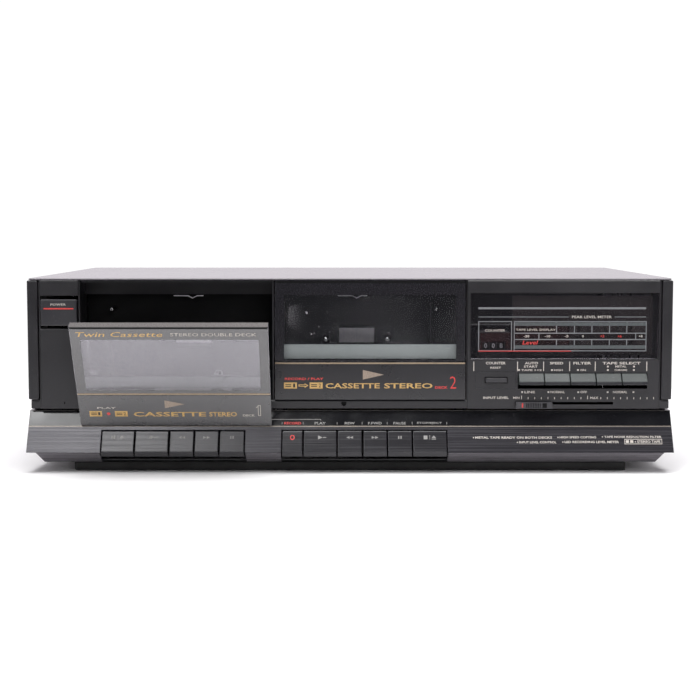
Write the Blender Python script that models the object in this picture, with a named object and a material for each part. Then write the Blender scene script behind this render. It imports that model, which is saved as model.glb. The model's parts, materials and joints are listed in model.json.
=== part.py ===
"""A twin cassette deck, built as separate pieces in metres with +Z up.

Helper shapes are written in millimetres. Their y runs backwards from the front plane of the
fascia, so a negative y stands out in front of it. The first deck is at rest with its door open
and the second with its door closed.
"""

import math

import bmesh
import bpy
from mathutils import Vector

# ---- Driving dimensions, in millimetres ----
MM = 0.001
FRONT_Y = -114.65           # where the fascia's front plane stands in the finished frame
HALF_WIDTH = 220.0          # half the overall width, over the end cheeks and the apron
PANEL_HALF = 211.5          # half the width of the fascia's flat panels
PANEL_TOP = 131.0
DOOR_FOOT = 49.5
STRIP_TOP = 49.2
STRIP_BOTTOM = 43.2
STRIP_HALF = 218.4
STRIP_FACE = 1.0            # the strip under the doors is set back by this much

COVER_TOP = 132.5
COVER_HALF = 218.7
COVER_BACK = 266.0
SHEET = 1.2
BASE_Z = 6.5                # underside of the chassis tray

DOOR_WIDTH = 130.3
DOOR_TOP = 131.0
DOOR_SPLIT = 75.2           # height where the window ends and the lower panel begins
DOOR_OPEN = 30.3            # degrees
PIVOT_Y = 31.0
PIVOT_Z = 36.0
DOOR_CENTRES = {1: -118.6, 2: 13.75}
BAYS = {1: (-184.2, -53.0), 2: (-52.0, 79.5)}

SPINDLE_Z = 90.0
SPINDLE_HALF_PITCH = 21.25
MECH_CENTRES = {1: -109.6, 2: 4.6}
CAPSTAN_OFFSET = 17.0
CAPSTAN_Z = 64.0
PLATE_Y = 30.0
FLYWHEEL_RADIUS = 24.0
MOTOR_X = -35.5
MOTOR_Z = 93.8

APRON_TOP = (4.0, 41.7)     # y and z of the sloping face's upper edge
APRON_LIP = (-11.0, 14.5)   # y and z of its lower edge
CHIN_FOOT = (2.0, 6.2)
KEY_RANGES = {
    1: [(-169.3, -147.1), (-146.4, -123.8), (-122.8, -106.5), (-105.8, -89.6), (-88.8, -72.1)],
    2: [(-46.2, -32.4), (-31.6, -9.2), (-8.4, 8.0), (9.1, 25.1), (25.8, 42.2), (42.9, 65.9)],
}
KEY_ROD_Y = 62.0
KEY_ROD_Z = 21.0

BUTTON_FIRST = 115.3
BUTTON_WIDTH = 17.1
BUTTON_PITCH = 17.6

# ---- Finishes: colour, roughness, metallic ----
BLACK_PLASTIC = ((0.035, 0.034, 0.038), 0.45, 0.0)
DARK_PLASTIC = ((0.018, 0.018, 0.020), 0.55, 0.0)
KEY_PLASTIC = ((0.055, 0.053, 0.058), 0.42, 0.0)
GREY_GREEN = ((0.19, 0.22, 0.20), 0.5, 0.0)
PAINTED_STEEL = ((0.05, 0.05, 0.055), 0.5, 0.3)
BRUSHED_DARK = ((0.09, 0.085, 0.09), 0.38, 0.8)
ZINC_STEEL = ((0.55, 0.55, 0.53), 0.38, 0.9)
BRIGHT_STEEL = ((0.72, 0.72, 0.72), 0.22, 1.0)
BRASS = ((0.72, 0.55, 0.25), 0.3, 1.0)
SMOKED = ((0.02, 0.02, 0.025), 0.08, 0.0)
BOARD = ((0.28, 0.20, 0.08), 0.6, 0.0)
RUBBER = ((0.02, 0.02, 0.02), 0.85, 0.0)
WHITE_PLASTIC = ((0.75, 0.74, 0.70), 0.5, 0.0)


# ---- Shapes ----
def shape_of(corners, faces):
    """A closed bmesh from its corners and faces, with every face turned outwards."""
    shape = bmesh.new()
    points = [shape.verts.new(corner) for corner in corners]
    for face in faces:
        shape.faces.new([points[index] for index in face])
    bmesh.ops.recalc_face_normals(shape, faces=shape.faces)
    return shape


def block(x, y, z):
    """A box between two limits on each axis."""
    corners = [(a, b, c) for a in x for b in y for c in z]
    faces = [(0, 1, 3, 2), (4, 6, 7, 5), (0, 4, 5, 1), (2, 3, 7, 6), (0, 2, 6, 4), (1, 5, 7, 3)]
    return shape_of(corners, faces)


def on_axis(axis, along, across):
    """A point from its place along an axis and its two other coordinates, kept in x, y, z order."""
    spot = list(across)
    spot.insert("XYZ".index(axis), along)
    return tuple(spot)


def prism(axis, outline, low, high):
    """An outline drawn across an axis and pulled along it. Each end is one number or one per corner."""
    count = len(outline)
    lows = low if isinstance(low, list) else [low] * count
    highs = high if isinstance(high, list) else [high] * count
    corners = [on_axis(axis, lows[i], outline[i]) for i in range(count)]
    corners += [on_axis(axis, highs[i], outline[i]) for i in range(count)]
    faces = [tuple(range(count)), tuple(range(2 * count - 1, count - 1, -1))]
    for i in range(count):
        j = (i + 1) % count
        faces.append((i, j, count + j, count + i))
    return shape_of(corners, faces)


def turned(axis, centre, profile, segments=32):
    """A turned shape: the profile lists (radius, place along the axis), and a zero radius makes a tip."""
    corners = []
    rings = []
    for radius, along in profile:
        if radius == 0:
            rings.append([len(corners)])
            corners.append(on_axis(axis, along, centre))
            continue
        rings.append(list(range(len(corners), len(corners) + segments)))
        for i in range(segments):
            angle = 2 * math.pi * (i + 0.5) / segments
            across = (centre[0] + radius * math.cos(angle), centre[1] + radius * math.sin(angle))
            corners.append(on_axis(axis, along, across))
    faces = []
    for first, second in zip(rings, rings[1:]):
        for i in range(segments):
            j = (i + 1) % segments
            if len(first) == 1:
                faces.append((first[0], second[i], second[j]))
            elif len(second) == 1:
                faces.append((first[i], first[j], second[0]))
            else:
                faces.append((first[i], first[j], second[j], second[i]))
    for ring in (rings[0], rings[-1]):
        if len(ring) > 1:
            faces.append(tuple(ring))
    return shape_of(corners, faces)


def drum(axis, centre, radius, low, high, segments=32):
    """A plain round bar."""
    return turned(axis, centre, [(radius, low), (radius, high)], segments)


def softened(shape, width, segments=2, chosen=None):
    """The same shape with its edges rounded over: all of them, or those that a test picks."""
    edges = [edge for edge in shape.edges if chosen is None or chosen(edge)]
    bmesh.ops.bevel(shape, geom=edges, offset=width, segments=segments, profile=0.5, affect="EDGES")
    return shape


# ---- Objects ----
def finish_of(name, finish):
    """A Principled material of the piece's own."""
    colour, roughness, metallic = finish
    material = bpy.data.materials.new(name)
    material.use_nodes = True
    shader = material.node_tree.nodes["Principled BSDF"]
    shader.inputs["Base Color"].default_value = (*colour, 1.0)
    shader.inputs["Roughness"].default_value = roughness
    shader.inputs["Metallic"].default_value = metallic
    return material


def placed(name, shape, origin, turn):
    """An object whose origin stands at the given place, turned about its own x axis."""
    for vertex in shape.verts:
        vertex.co = (vertex.co - Vector(origin)) * MM
    mesh = bpy.data.meshes.new(name)
    for face in shape.faces:
        face.smooth = True
    shape.to_mesh(mesh)
    shape.free()
    mesh.set_sharp_from_angle(angle=math.radians(32))
    obj = bpy.data.objects.new(name, mesh)
    obj.location = (origin[0] * MM, (origin[1] + FRONT_Y) * MM, origin[2] * MM)
    obj.rotation_euler = (math.radians(turn), 0.0, 0.0)
    bpy.context.scene.collection.objects.link(obj)
    return obj


def piece(name, finish, shape, add=(), cut=(), origin=(0.0, 0.0, 0.0), turn=0.0):
    """One finished sub-part: a shape, what is joined to it, and what is then cut away."""
    obj = placed(name, shape, origin, turn)
    obj.data.materials.append(finish_of(name, finish))
    for verb, extras in (("UNION", add), ("DIFFERENCE", cut)):
        for number, extra in enumerate(extras):
            helper = placed(f"{name}_{verb.lower()}_{number}", extra, origin, turn)
            helper.hide_render = True
            helper.display_type = "WIRE"
            modifier = obj.modifiers.new(helper.name, "BOOLEAN")
            modifier.operation = verb
            modifier.solver = "EXACT"
            modifier.object = helper
    return obj


def apron_face(z):
    """How far back the sloping face of the apron stands at a height."""
    (top_y, top_z), (lip_y, lip_z) = APRON_TOP, APRON_LIP
    return top_y + (lip_y - top_y) * (top_z - z) / (top_z - lip_z)


# ---- Front fascia ----
def build_fascia():
    lower_wall = (30.0, 45.0)
    low_edge = STRIP_BOTTOM - 0.2
    add = []
    # The outer walls and the walls between the bays carry the panels and the door pivots.
    for side in (-1, 1):
        wall = sorted((side * 211.2, side * 212.2))
        add.append(block(wall, (1.0, 26.0), (STRIP_BOTTOM + 0.2, PANEL_TOP)))
        end = sorted((side * 211.0, side * (STRIP_HALF - 0.1)))
        add.append(block(end, (STRIP_FACE + 0.5, 13.8), (STRIP_BOTTOM + 0.3, STRIP_TOP - 0.1)))
    for wall in ((-185.2, -184.2), (-53.0, -52.0), (79.5, 80.5)):
        add.append(block(wall, (1.6, 29.5), (STRIP_BOTTOM + 0.2, PANEL_TOP)))
        add.append(block(wall, (12.0, 38.0), lower_wall))
    left = (-PANEL_HALF, -185.0)
    add.append(softened(block(left, (0.0, 3.0), (120.6, PANEL_TOP)), 0.35, 1))
    add.append(softened(block(left, (0.0, 3.0), (low_edge, 98.0)), 0.4, 1))
    right = (80.1, PANEL_HALF)
    add.append(softened(block(right, (0.0, 3.0), (low_edge, PANEL_TOP)), 0.4, 1))
    add.append(block((-185.0, 80.2), (5.6, 9.0), (129.4, PANEL_TOP)))
    add.append(block((-185.0, 80.2), (22.5, 24.5), (120.7, PANEL_TOP)))
    strip = [
        (STRIP_FACE, STRIP_BOTTOM + 0.3),
        (STRIP_FACE, STRIP_TOP - 1.0),
        (STRIP_FACE + 1.0, STRIP_TOP),
        (2.6, STRIP_TOP),
        (2.6, STRIP_BOTTOM),
        (STRIP_FACE + 0.3, STRIP_BOTTOM),
    ]
    cut = [
        block((82.2, 210.7), (-2.0, 6.0), (77.0, 122.4)),
        block((114.8, 203.3), (-2.0, 6.0), (57.0, 67.9)),
        block((92.1, 107.8), (-2.0, 6.0), (60.8, 65.0)),
        block((113.0, 180.0), (-2.0, 9.0), (46.1, 47.9)),
        prism("Y", [(-5.9, 48.0), (-2.5, 48.0), (-2.5, 45.9), (-4.2, 44.6), (-5.9, 45.9)], -2.0, 9.0),
        block((-195.8, -195.0), (-2.0, 2.0), (46.4, 48.0)),
    ]
    piece("front_fascia", BLACK_PLASTIC, prism("X", strip, -STRIP_HALF, STRIP_HALF), add, cut)
    for name, side in (("left_cheek", -1), ("right_cheek", 1)):
        span = sorted((side * 212.8, side * HALF_WIDTH))
        cheek = softened(block(span, (-0.2, 14.0), (49.5, PANEL_TOP)), 0.8, 2)
        piece(name, BLACK_PLASTIC, cheek)


# ---- Sloping apron under the doors ----
def build_apron():
    back = 2.3
    top, lip, foot = APRON_TOP, APRON_LIP, CHIN_FOOT
    face = [top, lip, (lip[0] + back, lip[1]), (top[0] + back, top[1])]
    chin = [(lip[0] + 0.1, lip[1]), foot, (foot[0] + 2.6, foot[1] + 0.9), (lip[0] + 2.0, lip[1] + 2.0)]
    chin_ends = [213.6, 210.0, 210.3, 213.6]
    add = [prism("X", chin, [-x for x in chin_ends], chin_ends)]
    cheek = [(top[0] + 0.5, top[1]), (lip[0] + 0.5, lip[1]), (14.0, lip[1]), (14.0, top[1])]
    for side in (-1, 1):
        low, high = sorted((side * 218.2, side * HALF_WIDTH))
        add.append(prism("X", cheek, low, high))
    cut = []
    for keys in KEY_RANGES.values():
        cut.append(block((keys[0][0] - 0.7, keys[-1][1] + 0.7), (-20.0, 8.0), (4.0, 29.0)))
    piece("apron_panel", BRUSHED_DARK, prism("X", face, -HALF_WIDTH, HALF_WIDTH), add, cut)


# ---- Piano keys ----
def build_keys():
    def in_front(edge):
        return min(vertex.co.y for vertex in edge.verts) < -3

    proud = 0.9
    reach = apron_face(28.4) - proud
    low_edge = apron_face(14.9) - proud
    cap = [
        (reach, 28.4), (low_edge, 14.9), (low_edge + 1.5, 11.6), (-2.0, 11.6), (3.0, 15.0), (3.0, 25.0),
        (-0.8, 28.4),
    ]
    for deck, ranges in KEY_RANGES.items():
        for number, (low, high) in enumerate(ranges, 1):
            middle = (low + high) / 2
            head = softened(prism("X", cap, low, high), 0.5, 2, in_front)
            lever = block((middle - 3.5, middle + 3.5), (1.0, KEY_ROD_Y), (18.0, 24.0))
            hub = drum("X", (KEY_ROD_Y, KEY_ROD_Z), 4.6, middle - 5.0, middle + 5.0, 20)
            bore = drum("X", (KEY_ROD_Y, KEY_ROD_Z), 2.6, middle - 9.0, middle + 9.0, 20)
            piece(
                f"deck_{deck}_key_{number}",
                KEY_PLASTIC,
                head,
                [lever, hub],
                [bore],
                origin=(middle, KEY_ROD_Y, KEY_ROD_Z),
            )
    piece("key_rod", BRIGHT_STEEL, drum("X", (KEY_ROD_Y, KEY_ROD_Z), 2.2, -177.0, 72.0, 20))


# ---- Doors, with the cassette holders that swing with them ----
def build_door(deck):
    middle = DOOR_CENTRES[deck]
    mech = MECH_CENTRES[deck]
    origin = (middle, PIVOT_Y, PIVOT_Z)
    turn = DOOR_OPEN if deck == 1 else 0.0
    low, high = middle - DOOR_WIDTH / 2, middle + DOOR_WIDTH / 2

    # The window is a thin sheet with a deeper rim at its top and sides.
    window = block((low, high), (0.0, 2.2), (DOOR_SPLIT + 0.3, DOOR_TOP))
    rims = [block((low, high), (0.0, 5.0), (DOOR_TOP - 2.2, DOOR_TOP))]
    for edge in ((low, low + 2.0), (high - 2.0, high)):
        rims.append(block(edge, (0.0, 5.0), (DOOR_SPLIT + 0.3, DOOR_TOP)))
    piece(f"door_{deck}_window", SMOKED, window, rims, origin=origin, turn=turn)

    # The lower panel thins towards its bottom edge, which swings past the fixed strip.
    foot = DOOR_FOOT
    panel = [(0.0, DOOR_SPLIT), (0.0, foot), (1.0, foot), (2.4, foot + 2.9), (2.4, DOOR_SPLIT)]
    ribs = []
    for edge in ((low, low + 2.0), (high - 2.0, high)):
        ribs.append(block(edge, (1.0, 5.0), (foot + 9.0, DOOR_SPLIT)))
    piece(f"door_{deck}_panel", BLACK_PLASTIC, prism("X", panel, low, high), ribs, origin=origin, turn=turn)

    # The holder's cheeks are waisted, so that the fixed strip passes between them and the door.
    cheek = [
        (5.3, 124.0), (5.3, 67.0), (13.0, 67.0), (16.3, 60.4), (13.6, 57.6), (13.6, 54.0), (24.0, 37.0),
        (26.5, 31.8), (31.0, 30.2), (35.4, 32.2), (36.6, 37.0), (25.5, 62.0), (22.0, 70.0), (22.0, 115.5),
        (9.0, 124.0),
    ]
    left, right = middle - 60.6, middle + 60.6
    lip = softened(block((left + 0.6, right - 0.6), (5.3, 7.5), (77.0, 87.2)), 0.4, 1)
    add = [
        prism("X", cheek, left, left + 1.3),
        prism("X", cheek, right - 1.3, right),
        drum("X", (PIVOT_Y, PIVOT_Z), 2.6, BAYS[deck][0] + 0.4, left + 0.8, 20),
        drum("X", (PIVOT_Y, PIVOT_Z), 2.6, right - 0.8, BAYS[deck][1] - 0.4, 20),
        block((left + 0.6, right - 0.6), (5.3, 8.0), (121.5, 124.0)),
    ]
    ledge_y, ledge_z = (13.7, 18.0), (54.2, 55.5)
    add.append(block((left + 0.6, mech - 33.0), ledge_y, ledge_z))
    add.append(block((mech + 33.0, right - 0.6), ledge_y, ledge_z))
    guide = mech + 51.0 if mech < middle else mech - 52.2
    add.append(block((guide, guide + 1.2), (6.4, 18.0), (72.0, 115.0)))
    piece(f"cassette_holder_{deck}", DARK_PLASTIC, lip, add, origin=origin, turn=turn)


# ---- Tape transport behind each door ----
def build_transport(deck):
    mech = MECH_CENTRES[deck]
    middle = DOOR_CENTRES[deck]
    capstan = mech + CAPSTAN_OFFSET
    sensor = mech + 54.9 if mech < middle else mech - 54.9
    outline = [
        (middle - 65.0, 67.0), (middle - 58.4, 67.0), (middle - 58.4, 46.0), (middle + 58.4, 46.0),
        (middle + 58.4, 67.0), (middle + 65.0, 67.0), (middle + 65.0, 126.0), (middle - 65.0, 126.0),
    ]
    add = [
        drum("Y", (sensor, 110.7), 1.3, 14.0, PLATE_Y + 0.5, 12),
        drum("Y", (mech - 44.0, 62.0), 1.8, 12.0, PLATE_Y + 0.5, 12),
        drum("Y", (mech + 44.0, 62.0), 1.8, 12.0, PLATE_Y + 0.5, 12),
        softened(block((mech - 12.0, mech + 12.0), (PLATE_Y - 2.2, PLATE_Y + 0.5), (83.0, 98.0)), 0.6, 1),
    ]
    cut = [drum("Y", (capstan, CAPSTAN_Z), 3.2, 20.0, 40.0, 16)]
    for side in (-1, 1):
        cut.append(drum("Y", (mech + side * SPINDLE_HALF_PITCH, SPINDLE_Z), 4.2, 20.0, 40.0, 20))
    piece(
        f"deck_{deck}_mech_plate",
        DARK_PLASTIC,
        prism("Y", outline, PLATE_Y, PLATE_Y + 1.5),
        add,
        cut,
    )

    for name, side in (("left", -1), ("right", 1)):
        x = mech + side * SPINDLE_HALF_PITCH
        profile = [
            (0.0, 9.6), (1.6, 10.4), (3.0, 13.2), (3.0, 25.0), (8.4, 25.0), (8.4, 27.2), (3.6, 28.0),
            (3.6, 32.0), (9.0, 32.0), (9.0, 34.0), (0.0, 34.0),
        ]
        fins = []
        for step in range(3):
            angle = math.radians(60 * step + 15)
            along = Vector((math.cos(angle), math.sin(angle))) * 4.4
            beside = Vector((-math.sin(angle), math.cos(angle))) * 0.55
            corners = [along + beside, -along + beside, -along - beside, along - beside]
            outline = [(x + c.x, SPINDLE_Z + c.y) for c in corners]
            fins.append(prism("Y", outline, 14.0, 25.4))
        piece(
            f"deck_{deck}_spindle_{name}",
            DARK_PLASTIC,
            turned("Y", (x, SPINDLE_Z), profile, 24),
            fins,
            origin=(x, 22.0, SPINDLE_Z),
        )

    # Head carriage: at rest it waits under the cassette, and it slides up to play.
    base = block((mech - 27.0, mech + 27.0), (20.5, 22.0), (44.0, 56.0))
    add = [
        softened(block((mech - 6.5, mech + 6.5), (8.8, 21.0), (44.5, 53.0)), 0.7, 2),
        softened(block((mech - 21.0, mech - 13.5), (10.0, 21.0), (45.0, 52.0)), 0.6, 1),
        block((mech + 8.5, mech + 9.7), (11.5, 21.0), (45.0, 54.5)),
    ]
    piece(f"deck_{deck}_head_carriage", ZINC_STEEL, base, add, origin=(mech, 21.0, 50.0))
    roller = [
        (0.0, 10.0), (2.0, 10.2), (5.5, 10.5), (6.0, 11.0), (6.0, 18.0), (5.5, 18.5), (1.4, 18.6),
        (1.4, 20.1), (0.0, 20.1),
    ]
    piece(
        f"deck_{deck}_pinch_roller",
        RUBBER,
        turned("Y", (capstan, 50.2), roller, 24),
        origin=(capstan, 14.5, 50.2),
    )
    wheel = [
        (0.0, 9.4), (1.15, 9.8), (1.15, 35.5), (5.0, 35.5), (5.0, 36.5), (FLYWHEEL_RADIUS, 36.5),
        (FLYWHEEL_RADIUS, 38.0), (23.0, 38.0), (23.0, 42.6), (FLYWHEEL_RADIUS, 42.6), (FLYWHEEL_RADIUS, 46.0),
        (19.0, 46.0), (18.0, 43.5), (6.0, 43.5), (5.0, 46.0), (0.0, 46.0),
    ]
    piece(
        f"deck_{deck}_flywheel",
        ZINC_STEEL,
        turned("Y", (capstan, CAPSTAN_Z), wheel, 40),
        origin=(capstan, 40.0, CAPSTAN_Z),
    )


def build_drive():
    first = MECH_CENTRES[1] + CAPSTAN_OFFSET
    last = MECH_CENTRES[2] + CAPSTAN_OFFSET

    def loop(radius):
        ends = []
        for centre, start in ((first, 90), (last, -90)):
            for step in range(17):
                angle = math.radians(start + 180 * step / 16)
                ends.append((centre + radius * math.cos(angle), CAPSTAN_Z + radius * math.sin(angle)))
        return ends

    belt = prism("Y", loop(24.5), 38.6, 42.0)
    piece("drive_belt", RUBBER, belt, cut=[prism("Y", loop(23.3), 30.0, 50.0)])
    pulley = [
        (0.0, 37.2), (6.4, 37.2), (6.4, 38.2), (5.0, 38.2), (5.0, 42.4), (6.4, 42.4), (6.4, 43.4),
        (1.2, 43.4), (1.2, 44.6), (0.0, 44.6),
    ]
    piece(
        "motor_pulley",
        BRASS,
        turned("Y", (MOTOR_X, MOTOR_Z), pulley, 24),
        origin=(MOTOR_X, 40.0, MOTOR_Z),
    )
    can = [
        (0.0, 45.0), (5.0, 45.0), (5.0, 47.0), (17.0, 47.0), (17.5, 47.5), (17.5, 75.5), (17.0, 76.0),
        (7.0, 76.0), (7.0, 78.0), (0.0, 78.0),
    ]
    posts = []
    for x, z in ((MOTOR_X - 12.5, MOTOR_Z + 6.5), (MOTOR_X + 12.5, MOTOR_Z + 6.5), (MOTOR_X, MOTOR_Z + 14.2)):
        posts.append(drum("Y", (x, z), 1.8, 31.8, 48.0, 12))
    piece("motor", BRIGHT_STEEL, turned("Y", (MOTOR_X, MOTOR_Z), can, 32), posts)


# ---- Controls on the fascia ----
def build_controls():
    # Power button: a wide cap with a stem behind it.
    cap = softened(block((-210.8, -186.1), (-0.6, 6.0), (100.1, 118.1)), 0.6, 2)
    stem = block((-204.0, -193.0), (5.0, 16.0), (104.0, 114.0))
    piece("power_button", KEY_PLASTIC, cap, [stem], origin=(-198.45, 0.0, 109.1))

    wedge = [(2.4, 67.5), (-0.2, 67.5), (-4.8, 62.2), (-5.0, 59.9), (2.4, 59.9)]
    for number in range(5):
        low = BUTTON_FIRST + number * BUTTON_PITCH
        middle = low + BUTTON_WIDTH / 2
        cap = softened(prism("X", wedge, low, low + BUTTON_WIDTH), 0.35, 2)
        stem = block((middle - 4.0, middle + 4.0), (1.5, 14.0), (61.5, 66.0))
        piece(f"mode_button_{number + 1}", GREY_GREEN, cap, [stem], origin=(middle, 0.0, 63.7))

    cap = softened(block((92.6, 107.3), (-1.6, 4.0), (61.3, 64.5)), 0.5, 2)
    stem = block((97.0, 103.0), (3.0, 10.0), (62.0, 63.8))
    piece("counter_reset_button", KEY_PLASTIC, cap, [stem], origin=(99.95, 0.0, 62.9))

    knob = softened(block((113.3, 138.3), (-3.4, -0.3), (43.5, 48.1)), 0.5, 2)
    stem = block((124.5, 127.1), (-1.0, 10.0), (46.4, 47.6))
    piece("level_knob", KEY_PLASTIC, knob, [stem], origin=(125.8, 0.0, 45.8))


# ---- Meter window, tape counter and level display ----
def build_display():
    pane = softened(block((82.5, 210.4), (0.3, 2.4), (77.3, 122.1)), 0.3, 1)
    piece("meter_window", SMOKED, pane)

    bars = []
    for z in ((95.9, 100.0), (87.2, 90.2)):
        for number in range(10):
            low = 113.4 + number * 8.85
            bars.append(block((low, low + 7.6), (6.0, 12.4), z))
    bars.append(block((184.0, 204.0), (13.0, 26.0), (106.0, 114.0)))
    piece("meter_board", BOARD, block((112.2, 208.5), (12.0, 13.6), (79.0, 120.0)), bars)

    shell = block((88.0, 109.6), (4.4, 24.0), (77.6, 95.4))
    hollow = block((89.6, 107.8), (5.5, 30.0), (78.4, 94.6))
    window = block((90.3, 106.6), (3.0, 8.0), (83.6, 89.0))
    piece("counter_housing", DARK_PLASTIC, shell, cut=[hollow, window])
    for number, low in enumerate((90.6, 95.9, 101.2), 1):
        profile = [
            (1.6, low), (6.6, low), (7.2, low + 0.5), (7.2, low + 4.4), (6.6, low + 4.9), (1.6, low + 4.9),
        ]
        piece(
            f"counter_wheel_{number}",
            WHITE_PLASTIC,
            turned("X", (13.3, 86.3), profile, 30),
            origin=(low + 2.45, 13.3, 86.3),
        )


# ---- Chassis, cover and back ----
def build_case():
    # The tray is folded from one sheet: a floor, two sloping sides and two upright flanges.
    wall, floor, fold = 216.5, 205.0, 16.0
    rim, inside = wall - SHEET, floor - 0.5
    sheet = [
        (-wall, 30.0), (-wall, fold), (-floor, BASE_Z), (floor, BASE_Z), (wall, fold), (wall, 30.0),
        (rim, 30.0), (rim, fold + 0.5), (inside, BASE_Z + SHEET), (-inside, BASE_Z + SHEET),
        (-rim, fold + 0.5), (-rim, 30.0),
    ]
    tray = prism("Y", sheet, 14.6, 262.0)
    end = [(-wall, 25.0), (-wall, fold), (-floor, BASE_Z), (floor, BASE_Z), (wall, fold), (wall, 25.0)]
    add = [
        prism("Y", end, 262.0 - SHEET, 262.0),
        block((-floor, floor), (6.0, 15.0), (BASE_Z, BASE_Z + SHEET)),
    ]
    for x in (-175.5, -70.8, -49.4, 67.6):
        add.append(block((x, x + 1.5), (54.0, 70.0), (7.0, 26.0)))
    posts = [(x, y) for x in (-44.0, 76.0, 196.0) for y in (128.0, 242.0)]
    for x, y in posts:
        add.append(drum("Z", (x, y), 3.0, 7.0, 15.0, 12))
    cut = []
    for x in (-175.5, -70.8, -49.4, 67.6):
        cut.append(drum("X", (KEY_ROD_Y, KEY_ROD_Z), 2.6, x - 1.0, x + 2.5, 20))
    for row in range(8):
        low = -120.0 + row * 30.0
        cut.append(block((low, low + 4.0), (90.0, 118.0), (4.0, 10.0)))
    piece("chassis_tray", PAINTED_STEEL, tray, add, cut)

    def on_brow(edge):
        return all(vertex.co.y < 1.0 and vertex.co.z > COVER_TOP - 0.1 for vertex in edge.verts)

    top = block((-COVER_HALF, COVER_HALF), (0.6, COVER_BACK), (COVER_TOP - SHEET, COVER_TOP))
    add = []
    for side in (-1, 1):
        skirt = sorted((side * (COVER_HALF - SHEET), side * COVER_HALF))
        add.append(block(skirt, (14.5, COVER_BACK), (fold, COVER_TOP)))
    piece("top_cover", PAINTED_STEEL, softened(top, 1.0, 3, on_brow), add)

    outline = [
        (-wall, PANEL_TOP), (-wall, fold), (-floor, BASE_Z), (floor, BASE_Z), (wall, fold),
        (wall, PANEL_TOP),
    ]
    back = prism("Y", outline, 262.3, 263.8)
    cut = [
        block((96.0, 152.0), (255.0, 270.0), (60.0, 84.0)),
        block((-188.0, -160.0), (255.0, 270.0), (27.0, 47.0)),
    ]
    for number in range(10):
        low = -110.0 + number * 12.0
        cut.append(block((low, low + 4.0), (255.0, 270.0), (86.0, 118.0)))
    piece("rear_panel", PAINTED_STEEL, back, cut=cut)

    # Line sockets: one block with four turned barrels.
    sockets = block((96.3, 151.7), (252.0, 265.6), (60.3, 83.7))
    add = []
    cut = []
    for x in (109.0, 139.0):
        for z in (66.5, 77.5):
            add.append(drum("Y", (x, z), 4.1, 262.0, 273.0, 20))
            cut.append(drum("Y", (x, z), 1.7, 264.0, 280.0, 12))
    piece("line_sockets", DARK_PLASTIC, sockets, add, cut)

    # Mains inlet: a recessed socket with two pins, and no cord.
    inlet = block((-187.7, -160.3), (246.0, 265.8), (27.3, 46.7))
    cut = [softened(block((-184.0, -164.0), (254.0, 270.0), (31.0, 43.0)), 1.5, 1)]
    pins = [drum("Y", (x, 37.0), 1.2, 252.0, 263.5, 12) for x in (-178.3, -169.7)]
    body = piece("mains_inlet", DARK_PLASTIC, inlet, cut=cut)
    for number, pin in enumerate(pins):
        helper = placed(f"mains_inlet_pin_{number}", pin, (0.0, 0.0, 0.0), 0.0)
        helper.hide_render = True
        helper.display_type = "WIRE"
        modifier = body.modifiers.new(helper.name, "BOOLEAN")
        modifier.operation = "UNION"
        modifier.solver = "EXACT"
        modifier.object = helper

    for name, y in (("front_skid", (4.0, 16.0)), ("rear_skid", (238.0, 250.0))):
        foot = softened(block((-190.0, 190.0), y, (0.0, 6.2)), 0.8, 1)
        piece(name, RUBBER, foot)


# ---- Electronics inside the case ----
def build_electronics():
    board = block((-52.0, 204.0), (120.0, 250.0), (15.3, 16.9))
    add = []
    for number in range(5):
        x = -20.0 + number * 42.0
        add.append(drum("Z", (x, 226.0), 6.0 - number * 0.5, 16.0, 38.0 - number * 3.0, 16))
        add.append(block((x - 9.0, x + 9.0), (150.0, 157.0), (16.0, 20.5)))
    add.append(block((20.0, 100.0), (184.0, 187.0), (16.0, 42.0)))
    piece("main_board", BOARD, board, add)

    core = softened(block((-196.0, -136.0), (176.0, 226.0), (8.0, 52.0)), 1.2, 1)
    coil = softened(block((-186.0, -146.0), (168.0, 234.0), (16.0, 44.0)), 4.0, 2)
    piece("transformer", ZINC_STEEL, core, [coil])


for leftover in list(bpy.data.objects):
    bpy.data.objects.remove(leftover, do_unlink=True)

build_fascia()
build_apron()
build_keys()
for deck_number in (1, 2):
    build_door(deck_number)
    build_transport(deck_number)
build_drive()
build_controls()
build_display()
build_case()
build_electronics()
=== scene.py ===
"""Looks for the twin cassette deck: finishes for the CAD nodes, printed marks, trims and small fittings.

Places are in millimetres. x and z are the frame's own, and y runs backwards from the front plane of
the fascia, as in the CAD source. At rest the first door stands open and the second is closed.
"""

import json
import math

import bmesh
import bpy
from mathutils import Matrix, Vector

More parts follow.
